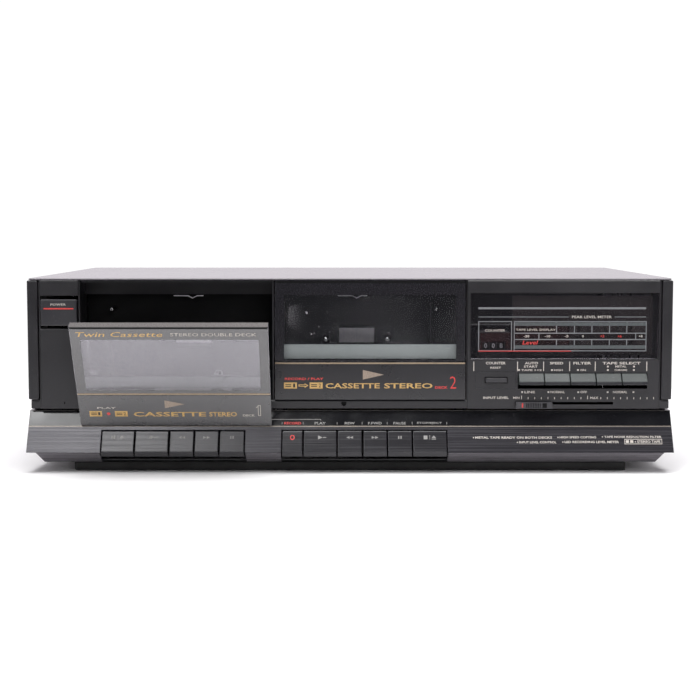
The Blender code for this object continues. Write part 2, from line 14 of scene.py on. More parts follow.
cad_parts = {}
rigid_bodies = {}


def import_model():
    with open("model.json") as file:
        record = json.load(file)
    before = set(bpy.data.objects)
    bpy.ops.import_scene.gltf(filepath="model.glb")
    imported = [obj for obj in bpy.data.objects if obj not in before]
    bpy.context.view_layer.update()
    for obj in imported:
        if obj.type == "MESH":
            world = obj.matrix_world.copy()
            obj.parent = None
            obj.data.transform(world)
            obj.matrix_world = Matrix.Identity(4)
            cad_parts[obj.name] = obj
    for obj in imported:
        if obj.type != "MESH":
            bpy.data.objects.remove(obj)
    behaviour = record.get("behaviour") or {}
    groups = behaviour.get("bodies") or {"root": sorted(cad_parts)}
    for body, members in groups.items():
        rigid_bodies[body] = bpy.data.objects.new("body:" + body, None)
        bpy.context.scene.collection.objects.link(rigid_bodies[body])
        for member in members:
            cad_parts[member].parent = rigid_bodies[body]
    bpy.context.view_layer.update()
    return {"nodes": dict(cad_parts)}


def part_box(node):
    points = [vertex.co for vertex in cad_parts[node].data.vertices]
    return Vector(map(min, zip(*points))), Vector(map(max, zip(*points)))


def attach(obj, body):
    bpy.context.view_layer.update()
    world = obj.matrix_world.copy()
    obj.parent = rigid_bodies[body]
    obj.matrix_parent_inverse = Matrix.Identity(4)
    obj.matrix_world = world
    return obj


for leftover in list(bpy.data.objects):
    bpy.data.objects.remove(leftover, do_unlink=True)
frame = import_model()

# ---- Driving dimensions ----
MM = 0.001
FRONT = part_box("front_fascia")[0].y
DOOR_OPEN = math.radians(30.3)
PIVOT = (31.0, 36.0)                    # y and z of the door hinges
DOOR_CENTRES = {1: -118.6, 2: 13.75}
DOOR_HALF = 65.15
DOOR_SPLIT = 75.2                       # where a door's window meets its lower panel
RIM_FOOT = 130.7                        # the underside of the thin cap on a door's window
MECH_CENTRES = {1: -109.6, 2: 4.6}
SPINDLE_HALF_PITCH = 21.25
SENSOR_OFFSET = 54.9                    # from a mechanism's centre to its sensor pin
APRON_TOP = (4.0, 41.7)                 # y and z, as for the lip and the planes below
APRON_LIP = (-11.0, 14.5)
APRON_HALF = 219.6
KEY_PROUD = 0.9
KNOB_DEPTH = -3.4                       # y of the level knob's face
BUTTON_FIRST = 115.3                    # left edge of the first mode button
BUTTON_PITCH = 17.6

# How far printed marks stand off their surface.
UNDERCOAT = 0.02
LOW_INK = 0.03
BASE_INK = 0.04
INK = 0.05
OVER_INK = 0.06
TOP_INK = 0.08
TITLE_INK = 0.09

# How much lettering is thickened.
LIGHT = 0.01
MEDIUM = 0.015
STRONG = 0.02
BOLD = 0.022
HEAVY = 0.03


def spot(x, y, z):
    """A point in the frame from millimetres."""
    return Vector((x * MM, FRONT + y * MM, z * MM))


# ---- Planes that marks are printed on ----
class Plane:
    """A flat surface crossed by x, with its own upward direction and outward normal."""

    def __init__(self, y, z, up, normal, turn=None):
        self.origin = spot(0.0, y, z)
        self.up = Vector((0.0, *up))
        self.normal = Vector((0.0, *normal)).normalized()
        self.right = Vector((1.0, 0.0, 0.0))
        self.turn = turn or Matrix.Identity(4)

    def at(self, x, z, lift):
        place = self.origin + (self.right * x + self.up * z + self.normal * lift) * MM
        return self.turn @ place


def upright(y, turn=None):
    """A plane that faces the front at a depth. Its z is the frame's z."""
    return Plane(y, 0.0, (0.0, 1.0), (-1.0, 0.0), turn)


def sloped(low, high, proud=0.0):
    """A leaning plane through two (y, z) points. Heights on it are the frame's z."""
    run = high[0] - low[0]
    rise = high[1] - low[1]
    foot = low[0] - low[1] * run / rise
    return Plane(foot - proud, 0.0, (run / rise, 1.0), (-rise, run))


hinge = spot(0.0, *PIVOT)
OPENED = Matrix.Translation(hinge) @ Matrix.Rotation(DOOR_OPEN, 4, "X") @ Matrix.Translation(-hinge)
DOOR_TURN = {1: OPENED, 2: Matrix.Identity(4)}
FASCIA = upright(0.0)
APRON = sloped(APRON_LIP, APRON_TOP)
KEYTOPS = sloped(APRON_LIP, APRON_TOP, KEY_PROUD)
CHIN = sloped((2.0, 6.2), (-10.9, 14.5))
BUTTON_FOOT = sloped((-5.0, 59.9), (-4.8, 62.2))
KNOB_FACE = upright(KNOB_DEPTH)


# ---- Finishes ----
class Recipe:
    """Builds one Principled material whose colour, roughness and relief come from nodes."""

    def __init__(self, name, stretch=(1.0, 1.0, 1.0)):
        self.material = bpy.data.materials.new(name)
        self.material.use_nodes = True
        self.tree = self.material.node_tree
        self.shader = self.tree.nodes["Principled BSDF"]
        place = self.node("ShaderNodeTexCoord")
        self.still = place.outputs["Object"]
        self.stretched = self.mapped(stretch)

    def node(self, kind, **settings):
        made = self.tree.nodes.new(kind)
        for key, value in settings.items():
            setattr(made, key, value)
        return made

    def link(self, start, end):
        self.tree.links.new(start, end)

    def mapped(self, stretch, turn=0.0):
        mapping = self.node("ShaderNodeMapping")
        mapping.inputs["Scale"].default_value = stretch
        mapping.inputs["Rotation"].default_value = (0.0, turn, 0.0)
        self.link(self.still, mapping.inputs["Vector"])
        return mapping.outputs["Vector"]

    def noise(self, scale, detail=3.0, vector=None):
        made = self.node("ShaderNodeTexNoise")
        made.inputs["Scale"].default_value = scale
        made.inputs["Detail"].default_value = detail
        self.link(vector or self.stretched, made.inputs["Vector"])
        return made.outputs["Fac"]

    def ranged(self, value, low, high, out_low, out_high):
        made = self.node("ShaderNodeMapRange")
        self.link(value, made.inputs["Value"])
        limits = {"From Min": low, "From Max": high, "To Min": out_low, "To Max": out_high}
        for key, number in limits.items():
            made.inputs[key].default_value = number
        return made.outputs["Result"]

    def mixed(self, share, first, second):
        """A colour between two, each a colour or a socket."""
        made = self.node("ShaderNodeMix", data_type="RGBA")
        self.link(share, made.inputs[0])
        for index, colour in ((6, first), (7, second)):
            if isinstance(colour, tuple):
                made.inputs[index].default_value = (*colour, 1.0)
            else:
                self.link(colour, made.inputs[index])
        return made.outputs[2]

    def added(self, first, second):
        made = self.node("ShaderNodeMath", operation="ADD")
        self.link(first, made.inputs[0])
        self.link(second, made.inputs[1])
        return made.outputs[0]

    def relief(self, height, strength, depth, rounded=0.0):
        """Fine relief, over edges that are rounded in the shading by some millimetres if asked."""
        bump = self.node("ShaderNodeBump")
        bump.inputs["Strength"].default_value = strength
        bump.inputs["Distance"].default_value = depth
        self.link(height, bump.inputs["Height"])
        if rounded:
            bevel = self.node("ShaderNodeBevel", samples=4)
            bevel.inputs["Radius"].default_value = rounded * MM
            self.link(bevel.outputs["Normal"], bump.inputs["Normal"])
        self.link(bump.outputs["Normal"], self.shader.inputs["Normal"])

    def fixed(self, **values):
        """Constants set on the shader, with underscores for the spaces in their names."""
        for key, value in values.items():
            self.shader.inputs[key.replace("_", " ")].default_value = value


def shade(colour, factor):
    return tuple(min(1.0, part * factor) for part in colour)


def moulded(name, colour, roughness, rounded=0.35, texture=0.12, shine=0.5, spread=0.14, lacquer=0.0):
    """Moulded plastic: spark-eroded grain, slow tone changes and faint handling wear."""
    recipe = Recipe(name)
    tone = recipe.ranged(recipe.noise(14.0, 4.0), 0.3, 0.7, 0.0, 1.0)
    cloud = recipe.mixed(tone, shade(colour, 1.0 - spread), shade(colour, 1.0 + spread))
    specks = recipe.ranged(recipe.noise(900.0, 1.0), 0.66, 0.76, 0.0, 0.5)
    worn = recipe.mixed(specks, cloud, shade(colour, 2.2))
    recipe.link(worn, recipe.shader.inputs["Base Color"])
    rub = recipe.ranged(recipe.noise(45.0, 5.0), 0.3, 0.7, roughness - 0.07, roughness + 0.09)
    recipe.link(rub, recipe.shader.inputs["Roughness"])
    recipe.relief(recipe.noise(3200.0, 2.0), texture, 0.00012, rounded)
    recipe.fixed(Specular_IOR_Level=shine, Coat_Weight=lacquer, Coat_Roughness=0.14, Coat_IOR=1.8)
    return recipe.material


def brushed(name, colour, roughness, metallic, spread=0.10):
    """Anodised sheet with its brushing along x, and a few rubbed patches."""
    recipe = Recipe(name, (6.0, 900.0, 900.0))
    lines = recipe.noise(1.6, 5.0)
    patches = recipe.noise(16.0, 3.0, recipe.still)
    tone = recipe.ranged(recipe.added(lines, patches), 0.75, 1.25, 0.0, 1.0)
    base = recipe.mixed(tone, shade(colour, 1.0 - spread), shade(colour, 1.0 + spread))
    recipe.link(base, recipe.shader.inputs["Base Color"])
    rough = recipe.ranged(lines, 0.3, 0.7, roughness - 0.08, roughness + 0.1)
    recipe.link(rough, recipe.shader.inputs["Roughness"])
    recipe.relief(lines, 0.18, 0.00006, 0.35)
    recipe.fixed(Metallic=metallic)
    return recipe.material


def painted(name, colour, roughness, rounded=0.5, shine=0.5, lacquer=0.0):
    """Sprayed steel sheet: orange peel and slow tone changes."""
    recipe = Recipe(name)
    tone = recipe.ranged(recipe.noise(9.0, 3.0), 0.3, 0.7, 0.0, 1.0)
    base = recipe.mixed(tone, shade(colour, 0.93), shade(colour, 1.07))
    recipe.link(base, recipe.shader.inputs["Base Color"])
    rough = recipe.ranged(recipe.noise(60.0, 4.0), 0.3, 0.7, roughness - 0.015, roughness + 0.02)
    recipe.link(rough, recipe.shader.inputs["Roughness"])
    recipe.relief(recipe.noise(1400.0, 2.0), 0.16, 0.0001, rounded)
    recipe.fixed(Specular_IOR_Level=shine, Coat_Weight=lacquer, Coat_Roughness=0.16)
    return recipe.material


def metal(name, colour, roughness):
    """Plated or turned metal with fine machining marks."""
    recipe = Recipe(name)
    lines = recipe.noise(700.0, 4.0)
    base = recipe.mixed(lines, shade(colour, 0.82), shade(colour, 1.1))
    recipe.link(base, recipe.shader.inputs["Base Color"])
    rough = recipe.ranged(recipe.noise(90.0, 4.0), 0.3, 0.7, roughness - 0.06, roughness + 0.1)
    recipe.link(rough, recipe.shader.inputs["Roughness"])
    recipe.relief(lines, 0.12, 0.00005, 0.2)
    recipe.fixed(Metallic=1.0)
    return recipe.material


def smoked(name, tint, clear, roughness, dusty=1.0):
    """Half-mirrored smoked acrylic, dusty and finely scratched. clear is the share that passes a face."""
    recipe = Recipe(name)
    specks = recipe.ranged(recipe.noise(260.0, 2.0), 0.70, 0.80, 0.0, 0.5 * dusty)
    haze = recipe.ranged(recipe.noise(22.0, 5.0), 0.45, 0.8, 0.0, 0.35 * dusty)
    soiling = recipe.added(specks, haze)
    for turn in (0.35, -0.5):
        fine = recipe.noise(9.0, 3.0, recipe.mapped((3.0, 60.0, 60.0), turn))
        soiling = recipe.added(soiling, recipe.ranged(fine, 0.7, 0.76, 0.0, 0.22 * dusty))
    base = recipe.mixed(soiling, tint, (0.42, 0.41, 0.43))
    recipe.link(base, recipe.shader.inputs["Base Color"])
    rough = recipe.ranged(soiling, 0.0, 0.8, roughness, roughness + 0.35)
    recipe.link(rough, recipe.shader.inputs["Roughness"])
    recipe.relief(recipe.noise(30.0, 2.0), 0.02, 0.0002)
    recipe.fixed(Metallic=0.95, Alpha=1.0 - clear)
    return recipe.material


def ink(name, colour, roughness=0.5, metallic=0.0, cover=1.0, lacquer=0.0):
    """Screen-printed ink or foil, a little uneven. cover is the share of light that it stops."""
    recipe = Recipe(name)
    wear = recipe.ranged(recipe.noise(1300.0, 3.0), 0.35, 0.6, 0.0, 1.0)
    base = recipe.mixed(wear, shade(colour, 0.78), shade(colour, 1.06))
    recipe.link(base, recipe.shader.inputs["Base Color"])
    rough = recipe.ranged(wear, 0.0, 1.0, roughness + 0.1, roughness)
    recipe.link(rough, recipe.shader.inputs["Roughness"])
    recipe.fixed(Metallic=metallic, Alpha=cover, Coat_Weight=lacquer, Coat_Roughness=0.14, Coat_IOR=1.8)
    return recipe.material


def dust_film(name, amount):
    """A thin film of dust, specks and wiping scratches, clear between them."""
    recipe = Recipe(name)
    cover = recipe.ranged(recipe.noise(260.0, 2.0), 0.68, 0.76, 0.0, 0.9 * amount)
    cover = recipe.added(cover, recipe.ranged(recipe.noise(26.0, 6.0), 0.42, 0.66, 0.0, 0.25 * amount))
    for turn in (0.35, -0.5, 1.2):
        fine = recipe.noise(9.0, 3.0, recipe.mapped((3.0, 60.0, 60.0), turn))
        cover = recipe.added(cover, recipe.ranged(fine, 0.68, 0.76, 0.0, 0.35 * amount))
    recipe.link(cover, recipe.shader.inputs["Alpha"])
    tone = recipe.mixed(recipe.noise(40.0), (0.40, 0.38, 0.42), (0.55, 0.53, 0.55))
    recipe.link(tone, recipe.shader.inputs["Base Color"])
    recipe.link(recipe.ranged(recipe.noise(80.0), 0.3, 0.7, 0.6, 0.9), recipe.shader.inputs["Roughness"])
    recipe.fixed(Specular_IOR_Level=0.2)
    return recipe.material


FASCIA_BLACK = moulded("fascia_black", (0.020, 0.019, 0.022), 0.38, rounded=0.0)
CHEEK_BLACK = moulded("cheek_black", (0.017, 0.016, 0.019), 0.38)
DOOR_BLACK = moulded("door_black", (0.016, 0.015, 0.018), 0.3, texture=0.05, lacquer=0.25)
# A lighter copy of the shut door's black for the open door: painted light on its tilted face.
OPEN_DOOR_LIT_BLACK = moulded("open_door_painted_light_black", (0.043, 0.041, 0.045), 0.26, texture=0.05, lacquer=0.9)
INNER_BLACK = moulded("inner_black", (0.004, 0.004, 0.0045), 0.55, shine=0.15)
HOLDER_BLACK = moulded("holder_black", (0.006, 0.006, 0.0065), 0.6, texture=0.05, shine=0.1)
BUTTON_GREY = moulded("button_grey", (0.036, 0.035, 0.040), 0.36, texture=0.06)
# A darker grey for the mode buttons' lower faces: painted shade.
BUTTON_FRONT_SHADE = moulded("button_front_painted_shade", (0.013, 0.0125, 0.017), 0.42, texture=0.06)
KNOB_GREY = moulded("knob_grey", (0.048, 0.047, 0.053), 0.38, texture=0.06)
GREY_GREEN = moulded("grey_green", (0.040, 0.048, 0.047), 0.42, texture=0.05, spread=0.06)
LIP_GREY = moulded("lip_grey_green", (0.62, 0.68, 0.67), 0.5, texture=0.05, spread=0.05)
# A dimmer copy of the lip's grey-green for the open door's holder: painted shade.
LIP_SHADED = moulded("lip_painted_shade_grey_green", (0.20, 0.225, 0.21), 0.5, texture=0.05, spread=0.05)
WHEEL_BLACK = moulded("wheel_black", (0.014, 0.013, 0.015), 0.45, texture=0.04)
# The chin's brushed skin is lighter than the apron's metal: painted light standing in for the floor's
# reflection.
CHIN_LIT_METAL = brushed("chin_brushed_painted_light", (0.15, 0.14, 0.155), 0.3, 0.3)
SPINDLE_BLACK = moulded("spindle_black", (0.02, 0.02, 0.022), 0.2, texture=0.03)
APRON_METAL = brushed("apron_brushed", (0.044, 0.042, 0.049), 0.25, 0.35)
# A dark gloss for the apron's upper band: partly a two-tone finish, partly painted shade under the
# overhang of the strip and doors.
APRON_GLOSS_AND_SHADE = moulded("apron_gloss_and_shade_band", (0.010, 0.010, 0.012), 0.16, texture=0.03)
KEY_METAL = brushed("key_brushed", (0.028, 0.027, 0.031), 0.23, 0.2)
CORE_VARNISH = painted("core_varnish", (0.022, 0.020, 0.019), 0.6, shine=0.3)
COVER_PAINT = painted("cover_paint", (0.080, 0.069, 0.085), 0.28, rounded=0.4, lacquer=0.45)
TRAY_PAINT = painted("tray_paint", (0.030, 0.030, 0.033), 0.45)
REAR_PAINT = painted("rear_paint", (0.035, 0.035, 0.038), 0.45)
ZINC = metal("zinc_plate", (0.55, 0.55, 0.53), 0.34)
STEEL = metal("bright_steel", (0.70, 0.70, 0.71), 0.22)
BRASS = metal("turned_brass", (0.70, 0.52, 0.24), 0.28)
DARK_SCREW = metal("dark_screw", (0.09, 0.09, 0.095), 0.35)
SOCKET_PLATING = metal("socket_plating", (0.62, 0.60, 0.56), 0.25)
RUBBER = moulded("rubber", (0.022, 0.022, 0.022), 0.8, texture=0.2)
BOARD_TAN = painted("board_tan", (0.20, 0.14, 0.055), 0.6)
METER_BOARD = moulded("meter_board", (0.10, 0.077, 0.078), 0.5)
DOOR_GLASS = smoked("door_smoke", (0.56, 0.56, 0.60), 0.77, 0.07)
OPEN_GLASS = smoked("open_door_smoke", (0.42, 0.41, 0.44), 0.55, 0.09, 0.6)
METER_GLASS = smoked("meter_smoke", (0.40, 0.38, 0.42), 0.66, 0.06, 0.3)
DUST = dust_film("window_dust", 0.10)
HEAVY_DUST = dust_film("window_heavy_dust", 0.8)

CREAM = ink("ink_cream", (0.66, 0.61, 0.56))
DOOR_CREAM = ink("ink_door_cream", (0.52, 0.48, 0.43))
DIM_CREAM = ink("ink_dim_cream", (0.33, 0.32, 0.31))
METER_GREY = ink("ink_meter_grey", (0.21, 0.215, 0.23))
METER_BAND = ink("ink_meter_band", (0.085, 0.095, 0.10))
GOLD = ink("ink_gold", (0.62, 0.40, 0.15), 0.35, 0.25)
TRIM_GOLD = ink("ink_trim_gold", (0.38, 0.29, 0.20), 0.3, 0.4)
LINE_GOLD = ink("ink_line_gold", (0.30, 0.26, 0.22), 0.4, 0.4)
BEIGE = ink("ink_beige", (0.34, 0.27, 0.215))
RED = ink("ink_red", (0.74, 0.06, 0.055))
DARK_INK = ink("ink_dark", (0.03, 0.025, 0.02))
BORDER_INK = ink("ink_border", (0.016, 0.015, 0.019), 0.2, lacquer=0.25)
# A lighter copy of the border ink for the open door: painted light.
OPEN_BORDER_LIT_INK = ink("ink_open_border_painted_light", (0.062, 0.059, 0.063), 0.2, lacquer=0.9)
# A light grey that paints the highlight on the open door's window cap and along the apron's top edge.
RIM_HIGHLIGHT = ink("rim_painted_highlight", (0.10, 0.092, 0.088), 0.25)
FILTER_RED = ink("filter_red", (0.13, 0.018, 0.018), 0.4, cover=0.5)
LILAC = ink("ink_lilac", (0.93, 0.90, 1.0))

# ---- The CAD nodes' finishes ----
NODE_FINISHES = {
    "front_fascia": FASCIA_BLACK,
    "left_cheek": CHEEK_BLACK,
    "right_cheek": CHEEK_BLACK,
    "apron_panel": APRON_METAL,
    "top_cover": COVER_PAINT,
    "chassis_tray": TRAY_PAINT,
    "rear_panel": REAR_PAINT,
    "front_skid": RUBBER,
    "rear_skid": RUBBER,
    "line_sockets": INNER_BLACK,
    "mains_inlet": INNER_BLACK,
    "meter_window": METER_GLASS,
    "meter_board": METER_BOARD,
    "counter_housing": WHEEL_BLACK,
    "counter_reset_button": BUTTON_GREY,
    "power_button": BUTTON_GREY,
    "level_knob": KNOB_GREY,
    "main_board": BOARD_TAN,
    "transformer": CORE_VARNISH,
    "motor": STEEL,
    "motor_pulley": BRASS,
    "drive_belt": RUBBER,
    "key_rod": STEEL,
}
ENDINGS = (
    ("_mech_plate", INNER_BLACK),
    ("1_window", OPEN_GLASS),
    ("2_window", DOOR_GLASS),
    ("1_panel", OPEN_DOOR_LIT_BLACK),
    ("2_panel", DOOR_BLACK),
    ("_head_carriage", ZINC),
    ("_pinch_roller", RUBBER),
    ("_flywheel", ZINC),
    ("_spindle_left", SPINDLE_BLACK),
    ("_spindle_right", SPINDLE_BLACK),
)
BEGINNINGS = (
    ("mode_button", GREY_GREEN),
    ("cassette_holder", HOLDER_BLACK),
    ("counter_wheel", WHEEL_BLACK),
)


def finish_for(name):
    """The finish of a CAD node. Whatever isn't listed is a key of the transport."""
    if name in NODE_FINISHES:
        return NODE_FINISHES[name]
    for start, material in BEGINNINGS:
        if name.startswith(start):
            return material
    for end, material in ENDINGS:
        if name.endswith(end):
            return material
    return KEY_METAL


for node_name, node in frame["nodes"].items():
    for material_slot in node.material_slots:
        material_slot.material = finish_for(node_name)
    even = node.modifiers.new("even_shading", "WEIGHTED_NORMAL")
    even.keep_sharp = True


# ---- New pieces ----
def piece(name, shape, material, body, sharp=32.0):
    """A new object from a bmesh in frame metres, riding on a body."""
    mesh = bpy.data.meshes.new(name)
    for face in shape.faces:
        face.smooth = True
    shape.to_mesh(mesh)
    shape.free()
    mesh.set_sharp_from_angle(angle=math.radians(sharp))
    made = bpy.data.objects.new(name, mesh)
    made.data.materials.append(material)
    bpy.context.scene.collection.objects.link(made)
    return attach(made, body)


class Marks:
    """Flat marks on one plane, gathered into one piece."""

    def __init__(self):
        self.points = []
        self.faces = []

    def polygon(self, corners):
        start = len(self.points)
        self.points.extend(corners)
        self.faces.append(tuple(range(start, start + len(corners))))

    def bar(self, x, z):
        self.polygon([(x[0], z[0]), (x[1], z[0]), (x[1], z[1]), (x[0], z[1])])

    def frame(self, x, z, width):
        """The outline of a rectangle."""
        self.bar(x, (z[1] - width, z[1]))
        self.bar(x, (z[0], z[0] + width))
        inner = (z[0] + width, z[1] - width)
        self.bar((x[0], x[0] + width), inner)
        self.bar((x[1] - width, x[1]), inner)

    def hoop(self, x, z, outer, inner, steps=24):
        for i in range(steps):
            a, b = (2 * math.pi * k / steps for k in (i, i + 1))
            ring = [(outer, a), (outer, b), (inner, b), (inner, a)]
            self.polygon([(x + r * math.cos(t), z + r * math.sin(t)) for r, t in ring])

    def pointer(self, start, neck, tip, middle, half_shaft, half_head):
        """An arrow to the right along a level line."""
        self.polygon([
            (start, middle - half_shaft),
            (neck, middle - half_shaft),
            (neck, middle - half_head),
            (tip, middle),
            (neck, middle + half_head),
            (neck, middle + half_shaft),
            (start, middle + half_shaft),
        ])

    def words(self, text, x, z, lean=0.0, weight=0.0):
        """Lettering fitted to a box, with lean sloping it to the right."""
        curve = bpy.data.curves.new("lettering", "FONT")
        curve.body = text
        curve.resolution_u = 2
        curve.offset = weight
        source = bpy.data.objects.new("lettering", curve)
        mesh = bpy.data.meshes.new_from_object(source)
        spots = [vertex.co for vertex in mesh.vertices]
        left, right = min(p.x for p in spots), max(p.x for p in spots)
        low, high = min(p.y for p in spots), max(p.y for p in spots)
        start = len(self.points)
        height = z[1] - z[0]
        for p in spots:
            up = (p.y - low) / (high - low)
            across = (p.x - left) / (right - left)
            self.points.append((x[0] + (x[1] - x[0]) * across + lean * up * height, z[0] + height * up))
        for face in mesh.polygons:
            self.faces.append(tuple(start + index for index in face.vertices))
        bpy.data.objects.remove(source)
        bpy.data.meshes.remove(mesh)
        bpy.data.curves.remove(curve)

    def shape(self, plane, lift):
        """The marks as a bmesh on a plane, facing outwards."""
        flat = bmesh.new()
        outward = plane.turn.to_3x3() @ plane.normal
        points = [flat.verts.new(plane.at(x, z, lift)) for x, z in self.points]
        for face in self.faces:
            made = flat.faces.new([points[index] for index in face])
            made.normal_update()
            if made.normal.dot(outward) < 0:
                made.normal_flip()
        return flat

    def build(self, name, plane, material, body, slot="white_plastic", lift=INK):
        return piece(name, self.shape(plane, lift), material, body)


def brick(corners):
    """A bmesh block from eight corners, in the order of three nested pairs."""
    shape = bmesh.new()
    points = [shape.verts.new(corner) for corner in corners]
    for face in ((0, 1, 3, 2), (4, 6, 7, 5), (0, 4, 5, 1), (2, 3, 7, 6), (0, 2, 6, 4), (1, 5, 7, 3)):
        shape.faces.new([points[index] for index in face])
    bmesh.ops.recalc_face_normals(shape, faces=shape.faces)
    return shape


def slab(plane, x, z, lift, rounded=0.0):
    """A block standing on a plane between two lifts, with its edges rounded if asked."""
    shape = brick([plane.at(a, b, c) for a in x for b in z for c in lift])
    if rounded:
        bmesh.ops.bevel(
            shape, geom=list(shape.edges), offset=rounded * MM, segments=2, profile=0.5, affect="EDGES"
        )
    return shape


def joined(shapes):
    """One bmesh from several."""
    whole = bmesh.new()
    for shape in shapes:
        part = bpy.data.meshes.new("part")
        shape.to_mesh(part)
        shape.free()
        whole.from_mesh(part)
        bpy.data.meshes.remove(part)
    return whole


def lathe(centre, axis, profile, steps=32):
    """A turned shape from (radius, millimetres along the axis) about a point."""
    shape = bmesh.new()
    along = Vector(axis).normalized()
    side = along.orthogonal().normalized()
    other = along.cross(side)
    rings = []
    for radius, rise in profile:
        middle = centre + along * rise * MM
        if radius == 0.0:
            rings.append([shape.verts.new(middle)])
            continue
        ring = []
        for i in range(steps):
            angle = 2 * math.pi * i / steps
            outward = side * math.cos(angle) + other * math.sin(angle)
            ring.append(shape.verts.new(middle + outward * radius * MM))
        rings.append(ring)
    for first, second in zip(rings, rings[1:]):
        for i in range(steps):
            j = (i + 1) % steps
            if len(first) == 1:
                shape.faces.new((first[0], second[i], second[j]))
            elif len(second) == 1:
                shape.faces.new((first[i], first[j], second[0]))
            else:
                shape.faces.new((first[i], first[j], second[j], second[i]))
    bmesh.ops.recalc_face_normals(shape, faces=shape.faces)
    return shape


def screw(centre, axis, radius=2.6):
    """A pan head with a cross recess."""
    along = Vector(axis).normalized()
    rise = radius * 0.38
    head = [(radius, 0.0), (radius, rise * 0.45), (radius * 0.8, rise * 0.9), (radius * 0.45, rise)]
    recess = [(radius * 0.36, rise * 0.55), (0.0, rise * 0.3)]
    dome = lathe(centre, along, head + recess, 28)
    side = along.orthogonal().normalized()
    other = along.cross(side)
    wings = []
    for a, b in ((side, other), (other, side)):
        corners = []
        for long, short in ((-0.5, -0.1), (-0.5, 0.1), (0.5, -0.1), (0.5, 0.1)):
            foot = centre + (a * long + b * short) * radius * MM
            corners += [foot, foot + along * rise * 0.72 * MM]
        wings.append(brick(corners))
    return joined([dome] + wings)


# ---- Prints on the fascia and its controls ----
def print_fascia():
    """Legends and dividers round the mode buttons, the level scale and a line round the reset button."""
    cream = Marks()
    for x in (84.3, 114.2, 132.0, 149.8, 167.3, 202.5):
        cream.bar((x, x + 0.55), (69.2, 75.6))
    labels = (
        ("COUNTER", 92.8, 106.3, 73.7, 75.5),
        ("RESET", 95.9, 103.2, 70.8, 72.1),
        ("AUTO", 119.5, 128.5, 73.7, 75.4),
        ("START", 118.8, 128.2, 71.5, 73.0),
        ("TAPE 1+2", 117.0, 131.0, 69.2, 70.4),
        ("SPEED", 136.6, 145.7, 73.7, 75.4),
        ("HIGH", 139.4, 145.4, 69.2, 70.4),
        ("FILTER", 152.6, 164.8, 73.7, 75.4),
        ("ON", 157.4, 161.2, 69.2, 70.4),
        ("TAPE SELECT", 172.5, 198.5, 73.7, 75.4),
        ("METAL", 181.2, 188.8, 71.6, 73.0),
        ("CHROME", 180.8, 189.4, 69.2, 70.5),
        ("LINE", 119.4, 126.6, 53.9, 55.5),
        ("NORMAL", 137.2, 147.0, 53.9, 55.5),
        ("OFF", 157.6, 162.2, 53.9, 55.5),
        ("NORMAL", 179.9, 189.7, 53.9, 55.5),
        ("INPUT LEVEL", 91.2, 108.6, 50.0, 51.6),
        ("MIN", 111.7, 116.0, 50.0, 51.5),
        ("MAX", 164.4, 170.0, 50.0, 51.5),
    )
    for text, left, right, low, high in labels:
        cream.words(text, (left, right), (low, high), weight=BOLD)
    square_rows = (
        (54.1, (117.2, 135.2, 155.6, 175.7, 193.3)),
        (69.3, (137.4, 155.2, 175.6, 193.4, 114.9)),
        (71.7, (175.6, 193.4)),
    )
    for z, places in square_rows:
        for x in places:
            cream.bar((x, x + 1.2), (z, z + 1.1))
    first_tick = 117.4
    tick_pitch = 4.52
    for number in range(21):
        long_tick = number in (0, 10)
        x = first_tick + number * tick_pitch
        tick_top = 52.2 if long_tick else 51.2
        cream.bar((x - 0.22, x + 0.22), (49.8, tick_top))
    cream.build("fascia_legends", FASCIA, CREAM, "casing")

    surround = Marks()
    surround.frame((85.6, 113.6), (57.2, 68.8), 0.3)
    surround.build("reset_surround", FASCIA, BORDER_INK, "casing", "black_plastic")


def dress_controls():
    """Prints on the power button and level knob, the knob's grip, and painted shade on the mode buttons'
    lower faces.
    """
    power = upright(-0.6)
    label = Marks()
    label.words("POWER", (-203.8, -193.4), (113.9, 115.4), weight=LIGHT)
    label.build("power_legend", power, CREAM, "power_button")
    line = Marks()
    line.bar((-208.6, -188.3), (111.4, 112.3))
    line.build("power_red_line", power, RED, "power_button")

    index = Marks()
    index.bar((117.3, 118.2), (44.3, 47.5))
    index.build("level_knob_index", KNOB_FACE, RED, "level_knob")
    first_ridge = 120.4
    ridge_pitch = 1.15
    ridges = []
    for number in range(9):
        x = first_ridge + number * ridge_pitch
        ridges.append(slab(KNOB_FACE, (x, x + 0.45), (44.0, 47.6), (-0.1, 0.3), 0.1))
    ridges.append(slab(KNOB_FACE, (131.4, 134.4), (44.2, 47.4), (-0.1, 0.25), 0.1))
    piece("level_knob_grip", joined(ridges), INNER_BLACK, "level_knob")

    # The mode buttons' lower faces get a darker skin: painted shade, as they face away from the light
    # above.
    for number in range(5):
        low = BUTTON_FIRST + number * BUTTON_PITCH
        skin = slab(BUTTON_FOOT, (low + 0.2, low + 16.9), (60.1, 62.1), (-0.1, 0.08), 0.06)
        button = f"mode_button_{number + 1}"
        piece(f"{button}_front", skin, BUTTON_FRONT_SHADE, button)

    # A dark plate closes the small opening in the strip from behind.
    backing = slab(upright(2.9), (-12.0, 4.0), (43.6, 49.0), (0.0, 0.4))
    piece("strip_badge_backing", backing, INNER_BLACK, "casing")


